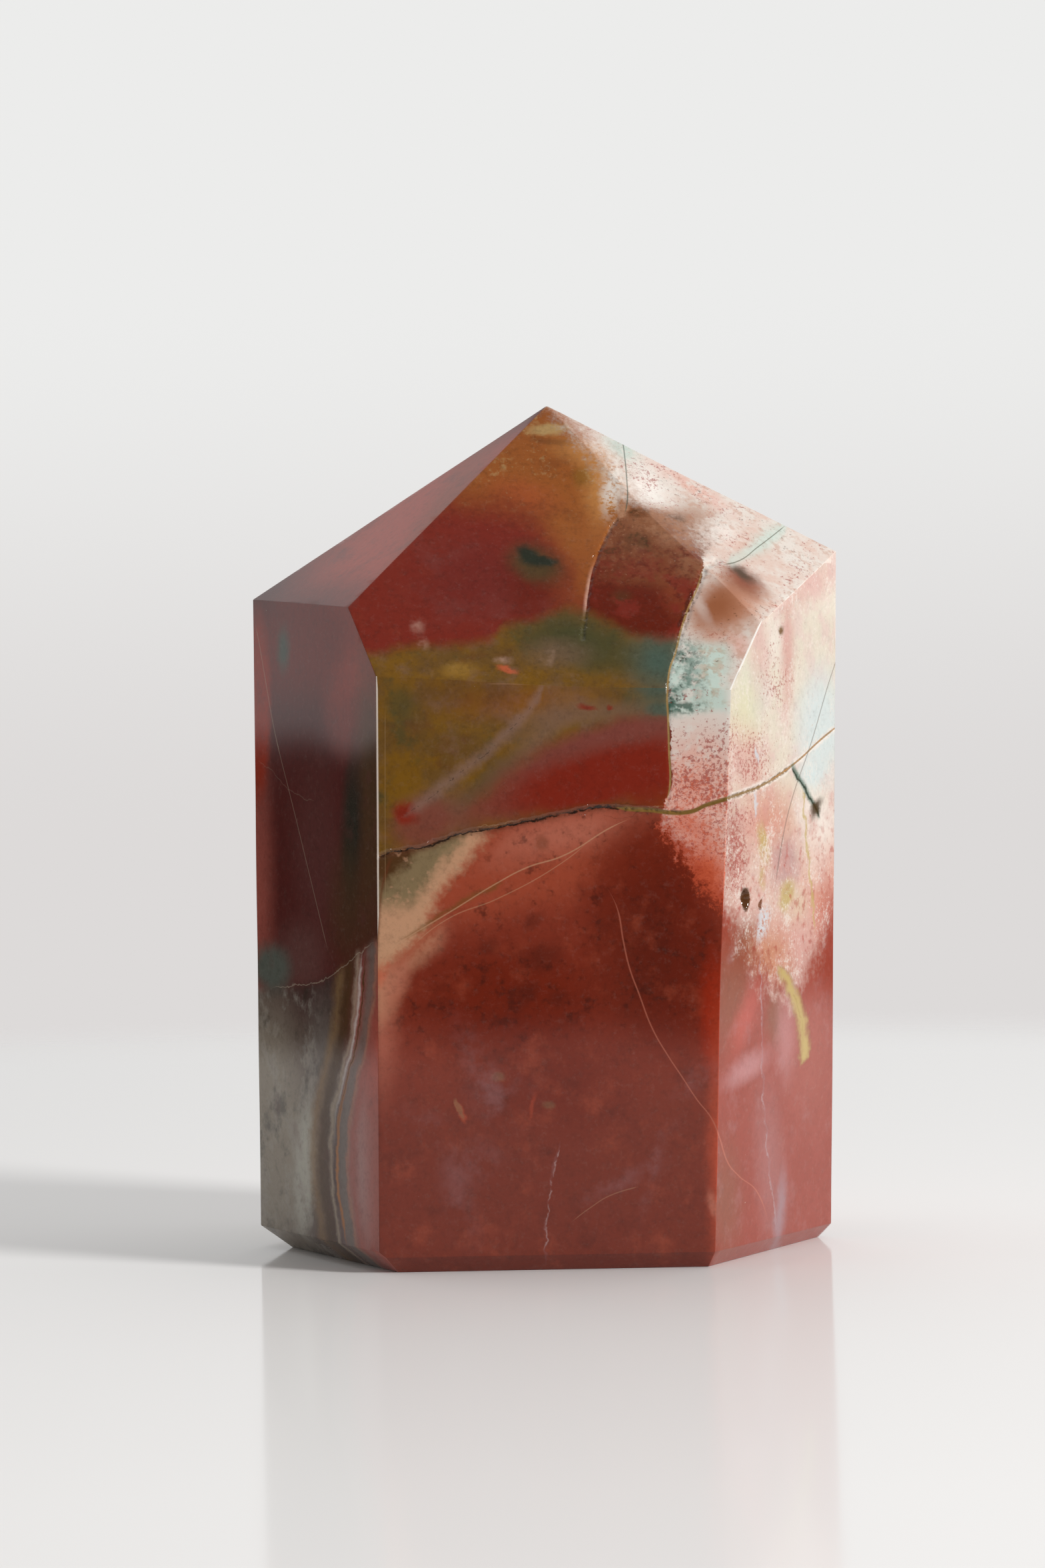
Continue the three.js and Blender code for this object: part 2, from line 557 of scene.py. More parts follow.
def open_jasper(name):
    """Starts a material, with the places and the noise that its colours are drawn from."""
    global material, place, near, flow, haze, murk, tone, frost, soot, pepper, salt, fleck, pick
    global x, y, z, nx, ny, nz, fx, fy, fz
    material, field = new_material(name)
    spot = field.node("ShaderNodeTexCoord", output="Object")
    spot = field.node(
        "ShaderNodeVectorMath",
        {"operation": "MULTIPLY_ADD"},
        {0: spot, 1: (1 / MM,) * 3, 2: (-TIP.x / MM, -TIP.y / MM, 0)},
    )
    behind = along(spot, (0, 1, 0)) - DRIFT_FROM
    behind = behind.math("MAXIMUM", behind, 0)
    place = field.node("ShaderNodeVectorMath", {"operation": "MULTIPLY_ADD"}, {0: behind, 1: tuple(DRIFT), 2: spot})
    big = noise_cloud(place, 8, 1)
    ripple = noise_cloud(place, 1.7, 3, 0.62)
    near = bend(place, ripple, 1.1)
    flow = bend(near, big, 3.0)
    haze, murk, tone = channels(noise_cloud(place, 3.4, 4, 0.66))
    frost, soot, _ = channels(noise_cloud(place, 0.75, 2, 0.6))
    pepper, salt, _ = channels(noise_cloud(place, 0.34, 2, 0.75))
    cells = place.node("ShaderNodeTexVoronoi", inputs={"Vector": place, "Scale": 1 / 1.9})
    pick, breadth, _ = channels(cells)
    fleck = (breadth * 0.045 + 0.01 - cells).ease(0, 0.02)
    x, y, z = split(place)
    nx, ny, nz = split(near)
    fx, fy, fz = split(flow)


def finish_jasper(skin):
    """Polishes the colour, and keeps the material for its facets."""
    surface = skin.node("ShaderNodeBsdfPrincipled", inputs={"Base Color": skin, "Roughness": 0.06, "IOR": 1.4})
    surface.node("ShaderNodeOutputMaterial", inputs={"Surface": surface})
    stone.data.materials.append(material)


INK = colour(34, 22, 16)
SNOW = colour(214, 200, 188)
MILK = colour(218, 208, 198)


def speckled(skin, tint, grit, density, strength=1.0):
    """Ragged grains of a tint: half of the skin at a density of 0.5, and a few flecks at 0.3."""
    return blend(skin, tint, (grit + density).ease(0.93, 1.09) * strength)


def dusted(skin, dark=0.7, light=0.6):
    """Fine mottling, and dark and light specks, one in every few cells of the stone."""
    skin = blend(skin, INK, (soot + pepper).ease(0.9, 1.4, 0.34 * dark))
    skin = blend(skin, SNOW, (frost + salt).ease(1.0, 1.5, 0.1 * light))
    skin = blend(skin, INK, fleck * pick.ease(0.24, 0.23, dark))
    return blend(skin, SNOW, fleck * pick.ease(0.77, 0.78, light))


# The front
# A deep red mass below the main crack, and above it olive clay with a mauve band and a red lens. A gold
# vein parts it from the pale cap on the right.

BRICK = colour(128, 52, 36)
MUTED = colour(116, 46, 31)
CORE = colour(108, 35, 19)
DEEP = colour(106, 34, 19)
MAUVE = colour(118, 62, 56)
HEATHER = colour(132, 82, 80)
GLOW = colour(140, 38, 17)
EMBER = colour(176, 72, 46)
ORANGE = colour(154, 70, 48)
PINK = colour(176, 102, 82)
SAGE = colour(124, 106, 76)
PEAT = colour(80, 52, 28)
BUFF = colour(188, 142, 110)
OLIVE = colour(104, 74, 34)
MUSTARD = colour(118, 82, 24)
SMOKE = colour(122, 92, 74)
LENS = colour(124, 38, 24)
PUTTY = colour(134, 104, 92)
DUSK = colour(122, 62, 52)
POPPY = colour(128, 36, 22)
MOSS = colour(70, 68, 40)
TEAL = colour(72, 88, 76)
MIST = colour(194, 208, 197)
CREAM = colour(212, 200, 178)
ROSE = colour(218, 152, 134)
CORAL = colour(196, 92, 62)
GOLD = colour(122, 92, 44)
STRAW = colour(158, 126, 76)
RUST = colour(96, 50, 28)
FERN = colour(58, 92, 78)
BLOOD = colour(150, 52, 44)
BRASS = colour(150, 112, 48)
SAND = colour(182, 150, 112)
LINT = colour(176, 148, 144)
# Near white: white patches in the stone, and a painted highlight along one edge.
WHITE_AND_GLINT = colour(246, 240, 232)
CLOT = colour(72, 28, 20)
CHAR = colour(44, 26, 16)
PINE = colour(38, 44, 34)


def over_crack():
    """How far above the main crack."""
    return z - drawn(x, MAIN_CRACK)[1]


def over_clay():
    """How far above the olive clay."""
    top = ((-19, 56.2), (-14, 56.6), (-9, 57), (-6.2, 57.4), (-5, 59), (-2, 59.6), (2, 60), (5, 59.2), (8, 58), (12, 57.6))
    return fz - drawn(fx, top)[1]


def pale_share():
    """Where the pale cap lies: right of the gold vein, with a soft rim below and above it."""
    edge = (
        (24, 31), (27, 25.5), (28.5, 21), (30.5, 18.2), (32, 15.6), (34, 13.8), (36, 12.3), (38, 10.9), (41.2, 9.2),
        (42.8, 9.6), (44, 9.95), (50, 9.85), (52, 9.8), (54.2, 10.1), (56, 10.8), (58, 11.4), (60, 12.2), (62, 13.2),
        (64, 13.9), (66, 13.7), (68.2, 12.9), (69.2, 11.6), (70, 8.6), (71, 6.8), (74, 5.6), (76, 3.8), (78, 2.4), (80, 0.6),
    )
    soft = z.ease(42.5, 38, 2.2) + z.ease(64.5, 67, 2.4) + 0.06
    ragged = (frost + soot + pepper * 2 - 2) * (z.ease(42.5, 38, 2.2) + z.ease(64.5, 67, 1.8) + 0.2)
    return ((nx + ragged - drawn(z, edge)[1]) / soft).ease(-1, 1.4)


def clay_bed():
    """Olive clay with mustard, mossy and smoky clouds and a few rusty ones."""
    clay = blend(OLIVE, MUSTARD, murk.ease(0.4, 0.62))
    clay = blend(clay, MOSS, haze.ease(0.46, 0.3, 0.6))
    clay = blend(clay, SMOKE, haze.ease(0.52, 0.74, 0.5))
    return blend(clay, RUST, tone.ease(0.54, 0.76, 0.4))


def red_mass():
    """The iron-red jasper below the crack, darkest in its heart and duller towards the foot."""
    skin = blend(BRICK, MUTED, fz.ease(21, 12))
    skin = paint(
        skin,
        flow,
        (
            (ORANGE, -4, 37, 11, 4.2, 14, 0.5, 0.9),
            (PINK, 0, 39.6, 7, 1.6, 10, 0.9, 0.8),
            (CORE, -4.5, 24.5, 9.5, 5, -4, 0.7, 1.0),
            (DEEP, 10.8, 29.5, 3.6, 9, 4, 0.5, 1.0),
            (CORE, 7, 36.5, 4.2, 4, -20, 0.6, 0.9),
            (CORE, -1, 17, 6, 3.4, 0, 0.8, 0.7),
            (CORE, 9.5, 24, 4, 5, 0, 0.9, 0.8),
            (CORE, 6.4, 30.6, 4.4, 4.6, 0, 0.8, 0.8),
            (CLOT, 8, 29, 4, 6, 0, 0.9, 0.45),
        ),
    )
    skin = blend(skin, MAUVE, haze.ease(0.54, 0.8, 0.1) * fz.ease(30, 14))
    skin = blend(skin, CLOT, murk.ease(0.5, 0.74, 0.4))
    skin = blend(skin, CLOT, (soot + murk).ease(1.08, 1.3, 0.5) * fz.ease(17, 24))
    return blend(skin, ORANGE, tone.ease(0.5, 0.78, 0.5))


def clouded(skin, tint, rows, onto=on_front, strength=0.5):
    """Wisps of milky quartz deep in the stone. A row is the place, half the width and height, and the turn."""
    wisps = 0
    for across, up, wide, high, turn in rows:
        wisps = wisps + patch(near, onto(across, up), (wide, 9, high), (0, -math.radians(turn), 0), 0.9, 1.0)
    return blend(skin, tint, wisps * haze.ease(0.4, 0.66, strength) * (frost * 0.6 + 0.7))


def stained(cap):
    """The pale cap's teal stain, with a fern-like growth in it and a grainy band along its foot."""
    reach = fz.ease(49.6, 51) * fz.ease(58.2, 56.2) * fx.ease(16.8, 14.8)
    cap = blend(cap, MIST, reach)
    cap = blend(cap, FERN, murk.ease(0.36, 0.54, 0.9) * reach * x.ease(13.8, 11))
    cap = blend(cap, MILK, (haze + frost).ease(1.0, 1.3, 0.8) * z.ease(41, 50))
    cap = blend(cap, FERN, nz.ease(51.6, 51.2) * nz.ease(50.2, 50.7) * x.ease(13.6, 12.6) * frost.ease(0.36, 0.54, 0.85))
    cap = blend(cap, PINE, (soot + pepper + murk).ease(1.5, 1.78, 0.75) * reach * x.ease(14.6, 11))
    return blend(cap, BRASS, (frost + tone).ease(0.98, 1.2, 0.35) * reach * x.ease(12, 13.6))


def front_colour():
    skin = red_mass()
    skin = paint(
        skin,
        near,
        (
            (GLOW, 13.8, 23, 1.3, 5, 0, 0.6, 0.9),
            (EMBER, 14.1, 9, 1.0, 11, 0, 0.9, 0.8),
            (PINK, 13.5, 5.6, 0.5, 1.4, 20, 0.6, 0.8),
            (PINK, -17, 24, 1.6, 6, 0, 0.9, 0.8),
            (PINK, -13, 30.4, 2.4, 1.6, 30, 0.9, 0.6),
            (BUFF, -16.4, 26.6, 1.6, 3.4, -20, 0.9, 0.7),
            (BUFF, -13.8, 29.9, 2.4, 1.5, 36, 0.9, 0.8),
            (CLOT, -1.8, 28.6, 1.6, 1.1, 20, 0.8, 0.5),
            (CLOT, -3.4, 25.4, 1.0, 0.8, 0, 0.8, 0.5),
            (CLOT, -6.6, 29.6, 0.8, 0.6, 0, 0.8, 0.45),
            (CLOT, -0.4, 24.8, 0.7, 0.6, 0, 0.8, 0.45),
            (CLOT, -2.6, 31.8, 0.9, 0.5, 30, 0.8, 0.45),
            (CORAL, -16.2, 28, 0.5, 1.7, -12, 0.5, 0.7),
            (PINK, -15.2, 27, 1.2, 2.6, -14, 0.6, 0.6),
            (EMBER, -9.4, 14.7, 0.34, 1.15, 22, 0.3, 0.5),
            (SAGE, -9.5, 14.9, 0.3, 1.0, 22, 0.3, 0.45),
            (SAGE, -6, 17.7, 0.55, 0.4, 10, 0.4, 0.35),
            (SAGE, -1.4, 15.1, 0.5, 0.35, 0, 0.6, 0.3),
            (EMBER, -2.9, 15, 0.2, 0.9, -16, 0.6, 0.35),
            (RUST, -1.7, 38.9, 0.7, 0.7, 0, 0.5, 0.45),
        ),
    )
    skin = clouded(
        skin,
        HEATHER,
        (
            (-7.8, 19, 1.0, 3.4, 24),
            (-5.4, 16, 2.4, 2.4, 30),
            (-12.4, 13.2, 2.6, 1.2, -20),
            (-8.2, 10, 2.2, 1.8, 0),
            (-9.6, 6, 1.2, 3, 14),
            (8.9, 14, 1.2, 1.2, 0),
            (12.2, 17.2, 2.6, 1.0, 18),
            (8, 9, 0.5, 3.2, -14),
            (4.6, 8, 4, 0.7, 20),
            (-4.9, 21.6, 0.5, 1.4, 0),
        ),
    )
    height = over_crack()
    under = height.ease(0.1, -0.06) * z.ease(26.5, 29.5)
    _, wedge_edge = drawn(nz, ((26, -18), (28.5, -15), (31, -12.6), (34, -11), (36.5, -9.2), (38.5, -7.6), (41, -6)))
    inside = wedge_edge - nx + (frost + soot - 1) * 1.6 + (haze - 0.5) * 3
    skin = blend(skin, ORANGE, inside.ease(-2.6, 0.2) * under)
    skin = blend(skin, BUFF, inside.ease(-0.9, 1.2) * under)
    skin = blend(skin, SAGE, inside.ease(1.0, 3.0, 0.95) * under * z.ease(32, 34.5))
    skin = blend(skin, PEAT, inside.ease(4.4, 6.4) * under * z.ease(34, 36.5))
    skin = blend(skin, BUFF, (murk + frost).ease(1.04, 1.24, 0.5) * inside.ease(0.6, 1.6) * under)
    skin = blend(skin, BUFF, inside.ease(0.2, 1.2, 0.7) * under * z.ease(33.5, 31.5))
    skin = blend(
        skin, OLIVE, vein(nx, nz, ((-15, 30.2), (-12, 31.8), (-9.7, 33.2), (-7, 34.6), (-5, 35.4)), 0.5, 0.7, 0.75)
    )
    skin = blend(skin, RUST, vein(nz, x, ((28, -16.9), (33, -16.5), (36, -16), (38.4, -14.8)), 0.3, 0.4, 0.8))

    clay = paint(
        clay_bed(),
        near,
        (
            (EMBER, -3, 51.6, 5, 1.2, 4, 0.9, 0.15),
            (RUST, -8, 52.6, 4, 1.8, 0, 0.9, 0.3),
            (SMOKE, -4, 46.4, 6.4, 0.7, 38, 0.9, 0.6),
            (SMOKE, -1.2, 50, 3.4, 1.2, 40, 0.9, 0.5),
            (DUSK, -5, 42.6, 5.4, 1.7, 16, 0.8, 0.9),
            (SMOKE, -11.6, 42, 2.6, 1.6, 30, 0.9, 0.5),
            (SMOKE, 4, 50.6, 5, 0.8, 4, 0.9, 0.6),
            (MOSS, -6.5, 44.6, 3.6, 0.8, 38, 0.7, 0.4),
            (DUSK, 3.8, 46.3, 9.6, 2.9, 15, 0.3, 1.0),
            (DUSK, 8.5, 47.6, 5, 2.6, 0, 0.4, 1.0),
            (LENS, 3.8, 44.6, 9, 2.5, 14, 0.4, 1.0),
            (LENS, 8, 45.2, 4.2, 2, 0, 0.5, 1.0),
            (LENS, 9, 42.5, 3, 1.4, 0, 0.5, 0.8),
            (DUSK, -12.4, 40.8, 2.8, 2.2, 24, 0.5, 0.8),
            (POPPY, -14, 41.7, 1.1, 0.9, -20, 0.5, 0.9),
            (MOSS, -14.2, 51.5, 1.3, 1.5, 0, 0.6, 0.6),
            (MOSS, 5, 55, 4, 1.6, -10, 0.7, 0.7),
            (TEAL, 9, 53.6, 2.2, 2.6, 0, 0.9, 1.0),
            (TEAL, 9.6, 50.8, 1.6, 0.6, 0, 0.5, 0.8),
            (POPPY, 2.5, 51, 0.7, 0.22, -10, 0.6, 0.8),
            (POPPY, 4.6, 51, 0.25, 0.2, 0, 0.6, 0.8),
        ),
    )
    wisp = ((-14.6, 41.2), (-12, 43), (-9, 45.3), (-6, 47.6), (-3.4, 50.2), (-1.6, 52.6), (-0.4, 54.6))
    clay = blend(clay, PUTTY, vein(nx, nz, wisp, 1.3, 1.4, 0.6))
    clay = blend(clay, INK, vein(nx, nz, wisp, 0.08, 0.08, 0.6) * (soot + pepper).ease(1.04, 1.16))
    clay = speckled(clay, INK, salt, murk.ease(0.4, 0.7, 0.1) + 0.2, 0.4)
    skin = blend(skin, clay, height.ease(-0.06, 0.1))
    skin = dusted(skin, 0.6, 0.3)

    # The cap is pale quartz-like stone, and its paleness also holds painted glow: the key light scattering through the
    # translucent stone.
    cap = paint(
        MILK,
        near,
        (
            (ROSE, 12.6, 43.4, 4, 5, 0, 0.6, 0.8),
            (CORAL, 13.8, 43.6, 2.4, 1.2, 0, 0.8, 0.35),
            (ROSE, 13.5, 38, 2.6, 4.8, 0, 0.6, 0.9),
            (MILK, 14, 39.6, 1.9, 2.4, 0, 0.9, 0.32),
            (MILK, 14.3, 44.4, 1.3, 1.6, 0, 0.9, 0.3),
            (CORAL, 11.6, 40.2, 2.2, 1.1, -30, 0.8, 0.6),
            (CORAL, 12.8, 35.4, 1.8, 3, -10, 0.7, 1.0),
            (CORAL, 14.2, 32.6, 1.2, 3, -10, 0.8, 0.8),
        ),
    )
    cap = stained(cap)
    cap = speckled(cap, BLOOD, pepper, z.ease(51.4, 45.5, 0.12) + tone.ease(0.3, 0.7, 0.16) + 0.24, 0.7)
    cap = speckled(cap, CORAL, salt, z.ease(50, 44, 0.2) + 0.26, 0.6)
    pale = pale_share()
    skin = blend(skin, EMBER, (pale * 1.6).ease(0.02, 0.7, 0.85) * z.ease(43, 40))
    skin = blend(skin, cap, pale.ease(0.2, 1))

    skin = blend(skin, RUST, vein(x, z, MAIN_CRACK[:15], 0.7, 0.7, 0.5))
    wavy = z + (frost + soot - 1) * 0.5
    skin = blend(skin, CHAR, vein(x, wavy, MAIN_CRACK[:15], 0.15, 0.14) * (haze + soot).ease(0.72, 0.95))
    skin = blend(skin, SAND, vein(x, wavy - 0.3, MAIN_CRACK[4:15], 0.08, 0.16, 0.6) * murk.ease(0.46, 0.6))
    skin = blend(skin, INK, vein(x, nz, ((2.8, 41.3), (4.2, 42.3), (6.2, 42.2), (8.6, 41.8)), 0.06, 0.12, 0.7))
    skin = blend(skin, INK, vein(x, nz, ((3.4, 41.8), (5, 41.1), (7, 41.3), (9, 41.6)), 0.06, 0.12, 0.6))
    skin = blend(skin, GOLD, vein(x, z, MAIN_CRACK[11:18], 0.28, 0.16))
    skin = blend(skin, STRAW, vein(z, x, upright(GOLD_VEIN), 0.14, 0.1, 0.9))
    skin = blend(skin, PINK, vein(z, x, upright(HEALED_CRACK), 0.12, 0.12, 0.6))
    for path, half_width, strength in (
        (((-17.8, 28.3), (-13.5, 30.8), (-9.7, 33), (-6, 35.2), (-3, 36.7), (0, 37.6), (4.8, 40.3), (7, 41.2)), 0.12, 0.6),
        (((-14, 29.3), (-10, 32.3), (-6, 33.8), (0, 37), (3, 39.4)), 0.1, 0.45),
        (((0.4, 4.4), (2.3, 5.8), (4, 6.8), (6.8, 7.6)), 0.1, 0.3),
        (((-7, 53.3), (-2, 53.2), (3, 53)), 0.08, 0.4),
    ):
        skin = blend(skin, BUFF, vein(x, z, path, half_width, 0.12, strength))
    dots = vein(
        z, nx, ((1.5, -1.9), (4.3, -1.7), (6, -1.6), (7.8, -1.3), (9.9, -0.9), (11.8, -0.35)), 0.1, 0.12, 0.6
    ) * frost.ease(0.36, 0.6)
    skin = blend(skin, HEATHER, vein(z, nx, ((0, -1.9), (6, -1.6), (12.4, -0.3)), 0.2, 0.4, 0.8) * haze.ease(0.3, 0.5))
    skin = blend(skin, LINT, dots)
    skin = blend(skin, SAND, vein(z, x, ((33, -15.95), (42, -15.85), (52, -15.7)), 0.05, 0.08, 0.5))
    # A painted highlight: a thin white line along the rounded edge between the front and the left side.
    return blend(skin, SNOW, vein(z, x, ((30, -16.72), (33.5, -16.66), (55.5, -16.46)), 0.16, 0.08, 0.95))


open_jasper("jasper_front")
finish_jasper(front_colour())


# The roof's front and right facets
# Wine-red jasper under an amber crown. A small step in the stone parts it from a darker red block, and
# right of that lies the pale cap.

WINE = colour(120, 40, 28)
PLUM = colour(106, 38, 32)
AMBER = colour(146, 82, 36)
HONEY = colour(182, 124, 68)
TAN = colour(176, 144, 94)
TOAST = colour(128, 76, 46)
MAHOGANY = colour(98, 30, 13)
CHESTNUT = colour(126, 58, 32)
MUD = colour(66, 46, 22)
BLUSH = colour(208, 168, 150)
PEACH = colour(156, 108, 78)
CINDER = colour(84, 52, 28)
TAWNY = colour(182, 126, 98)
RUSSET = colour(144, 84, 52)
SHELL = colour(205, 184, 173)


def roof_colour():
    skin = paint(
        WINE,
        flow,
        (
            (PLUM, -6, 63, 5.5, 3.2, 0, 0.7, 0.7),
            (MAHOGANY, -1.6, 62, 3, 3.6, 0, 0.7, 0.6),
            (CHESTNUT, 1.4, 61.4, 1.4, 3, 0, 0.9, 0.8),
        ),
    )
    skin = blend(skin, ORANGE, tone.ease(0.54, 0.8, 0.3))
    _, amber_foot = drawn(
        fx, ((-14, 73), (-10, 71.5), (-7, 70.8), (-4.5, 70.4), (-2, 69.2), (0, 67.2), (1.6, 64.5), (2.8, 61.5), (4, 59))
    )
    crown = paint(
        AMBER,
        near,
        (
            (HONEY, 5.2, 71.6, 1.8, 4.4, 8, 0.8, 1.0),
            (HONEY, 3.2, 75.2, 2.6, 1.2, -20, 0.8, 0.7),
            (TAN, 0, 77.6, 1.8, 0.6, 6, 0.5, 0.9),
            (CINDER, 0.2, 76.3, 1.8, 0.35, -6, 0.6, 0.4),
            (MUSTARD, 3, 72.8, 0.9, 0.9, 0, 0.7, 0.6),
            (EMBER, -2.5, 71, 3, 1.4, -20, 0.8, 0.3),
        ),
    )
    crown = blend(crown, TAN, (haze + frost).ease(1.1, 1.36, 0.5) * z.ease(66, 74))
    crown = blend(crown, RUST, murk.ease(0.5, 0.72, 0.35))
    crown = speckled(crown, TAN, salt, z.ease(66, 78, 0.1) + haze.ease(0.4, 0.7, 0.1) + 0.2, 0.4)
    skin = blend(skin, crown, (fz - amber_foot + frost - 0.5).ease(-3.4, 2.4) * z.ease(59, 67))
    skin = paint(
        skin,
        near,
        (
            (MOSS, -1.7, 64.4, 2.3, 1.6, -24, 0.7, 0.75),
            (PINE, -2.3, 65.2, 1.2, 0.75, -35, 0.5, 0.95),
            (PINE, -0.9, 64.7, 1.1, 0.5, -8, 0.5, 0.95),
        ),
    )
    _, step = drawn(z, upright(STEP))
    over_step = x - step
    skin = blend(skin, AMBER, over_step.ease(-2.2, -0.2, 0.7) * z.ease(59, 63) * z.ease(70, 69))
    skin = blend(skin, BLUSH, over_step.ease(-0.45, -0.02, 0.55) * z.ease(57.2, 59) * z.ease(65, 62))
    block = paint(
        MAHOGANY,
        near,
        (
            (TOAST, 9.4, 67.4, 7.5, 3.6, -14, 0.9, 0.8),
            (PEACH, 11.6, 68.6, 4, 1.8, -10, 0.9, 0.9),
            (MUD, 8, 66.4, 1.4, 0.8, 0, 0.9, 0.5),
            (CHESTNUT, 11.2, 61.6, 1.2, 2.4, 14, 0.9, 0.9),
            (CINDER, 8.3, 69.3, 0.9, 0.4, 0, 0.7, 0.9),
            (CINDER, 12, 68.9, 0.8, 0.35, -10, 0.7, 0.9),
            (CINDER, 6.1, 61.2, 0.8, 0.6, 0, 0.8, 0.6),
            (TOAST, 8.5, 63, 4, 0.7, 0, 0.9, 0.4),
            (PEACH, 13, 65.5, 1.6, 2.6, 0, 0.9, 0.6),
        ),
    )
    block = blend(block, WINE, haze.ease(0.46, 0.6, 0.8) * fz.ease(69, 62))
    block = blend(block, TOAST, (haze + frost).ease(0.94, 1.2, 0.7) * fz.ease(61.5, 67))
    block = blend(block, MAHOGANY, (murk + soot).ease(1.0, 1.3, 0.7) * fz.ease(71, 64))
    block = blend(block, MUD, (tone + frost).ease(0.9, 0.72, 0.6) * fz.ease(61, 67))
    block = blend(block, BUFF, (tone + murk).ease(1.0, 1.24, 0.8) * fz.ease(65, 69.5))
    block = speckled(block, PEACH, salt, fz.ease(61, 69, 0.14) + tone.ease(0.4, 0.6, 0.06) + 0.2, 0.6)
    held = over_step.ease(-0.02, 0.03) * z.ease(57, 57.4) * nz.ease(71, 69.4)
    skin = blend(skin, block, held)
    clay = paint(
        clay_bed(),
        near,
        (
            (MOSS, 1.4, 57.2, 4.4, 2.3, -8, 0.8, 1.0),
            (MOSS, 5, 55.6, 4, 1.6, -10, 0.7, 0.7),
            (TEAL, 9.3, 55.2, 2.3, 2.8, 0, 0.9, 1.0),
            (BRASS, -9, 54.6, 1.4, 0.7, 0, 0.7, 0.7),
            (CORAL, -4.6, 54.6, 0.9, 0.3, -8, 0.5, 0.7),
            (SMOKE, 0, 56, 2.6, 1.2, 0, 0.8, 0.5),
        ),
    )
    skin = blend(skin, clay, over_clay().ease(0.7, -0.9))
    skin = clouded(
        skin,
        BLUSH,
        ((-0.8, 55.6, 0.45, 0.8, -30), (-12.6, 58.8, 0.5, 0.7, 0), (-12.2, 57, 0.4, 0.6, 20), (-5, 55.4, 0.7, 0.3, 0)),
        strength=0.4,
    )
    skin = clouded(skin, MAUVE, ((-9, 61, 4, 2, 0), (-3, 59.6, 3, 1, 20), (-11, 65, 3, 2, 30)), strength=0.4)
    skin = dusted(skin, 0.7, 0.3)

    cap = paint(
        blend(MILK, BLUSH, murk.ease(0.42, 0.7, 0.7)),
        near,
        (
            (PEACH, 13.4, 68.4, 2.2, 2, 0, 0.9, 0.8),
            (MIST, 7, 75.7, 1.8, 0.9, -30, 0.7, 1.0),
            (TEAL, 6.2, 76, 1.2, 0.7, -30, 0.9, 0.3),
            (ROSE, 12, 73, 3, 0.6, -30, 0.9, 0.4),
            (ROSE, 15.4, 70.8, 3, 0.6, -35, 0.9, 0.4),
            (BLUSH, 18, 66, 3, 2, 0, 0.7, 0.6),
            (ROSE, 16, 56.6, 2, 1, -20, 0.8, 0.6),
            (MIST, 20.6, 67, 2.6, 0.8, 40, 0.8, 0.7),
            (WHITE_AND_GLINT, 8.2, 72, 2.6, 1.8, -20, 0.9, 0.75),
            (WHITE_AND_GLINT, 5.2, 76, 1.4, 1, -30, 0.9, 0.5),
            (WHITE_AND_GLINT, 15.4, 67.4, 2, 1.2, 0, 0.9, 0.6),
        ),
    )
    cap = blend(cap, TAWNY, (frost + murk).ease(1.0, 0.8, 0.4) * fx.ease(9, 13))
    cap = speckled(cap, BLOOD, pepper, tone.ease(0.4, 0.7, 0.18) + 0.28, 0.7)
    cap = stained(cap)
    cap = paint(
        cap,
        near,
        (
            (TAWNY, 15.8, 60.2, 3.6, 2.4, 30, 0.7, 1.0),
            (RUSSET, 14.9, 60.2, 2.2, 1.5, 40, 0.9, 0.9),
            (RUSSET, 17.4, 62.4, 2.2, 1.0, -30, 0.8, 0.9),
            (CHESTNUT, 17.7, 62.9, 1.6, 0.9, -32, 0.8, 0.8),
            (MUD, 17.7, 63.3, 1.3, 0.5, -32, 0.7, 0.9),
            (SHELL, 13, 61, 0.5, 2.2, 24, 0.8, 0.7),
        ),
    )
    cap = speckled(cap, CINDER, salt, haze.ease(0.4, 0.7, 0.14) + 0.25, 0.6)
    skin = blend(skin, cap, pale_share())
    crust = patch(near, on_front(6.1, 72.6), (0.9, 9, 3), (0, 0.24, 0), 0.7, 0.9) * (frost + salt).ease(0.8, 1.1)
    skin = blend(skin, MILK, crust)
    skin = blend(skin, MIST, vein(x, z, ((16, 64.3), (19.5, 66), (23, 68.4)), 1.0, 0.9, 0.6))
    skin = blend(skin, MOSS, vein(x, z, ((15.6, 64.2), (17.2, 64.5), (19.5, 66), (22.8, 68.4)), 0.1, 0.1, 0.8))
    skin = blend(skin, TEAL, vein(z, x, ((68.9, 6.3), (70.4, 7.2), (72.5, 7.3), (77, 7.2)), 0.1, 0.1, 0.85))
    # A painted highlight: a thin white glint line along the rounded edge between the right side and the roof's front
    # facet.
    skin = blend(skin, WHITE_AND_GLINT, vein(z, x, ((51.6, 15.1), (52.6, 15.62), (58.4, 18.68), (59, 19)), 0.14, 0.06, 1.0))
    # Painted shadow: a dark line just left of the gold vein's groove.
    skin = blend(skin, INK, vein(z, nx, tuple((up, across - 0.3) for across, up in GOLD_VEIN[8:11]), 0.3, 0.3, 0.6))
    return blend(skin, STRAW, vein(z, x, upright(GOLD_VEIN), 0.15, 0.12, 0.9))


open_jasper("jasper_roof")
finish_jasper(roof_colour())


# The right side
# The pale cap fills its upper half, speckled pink and stained green, and fades into salmon red below.

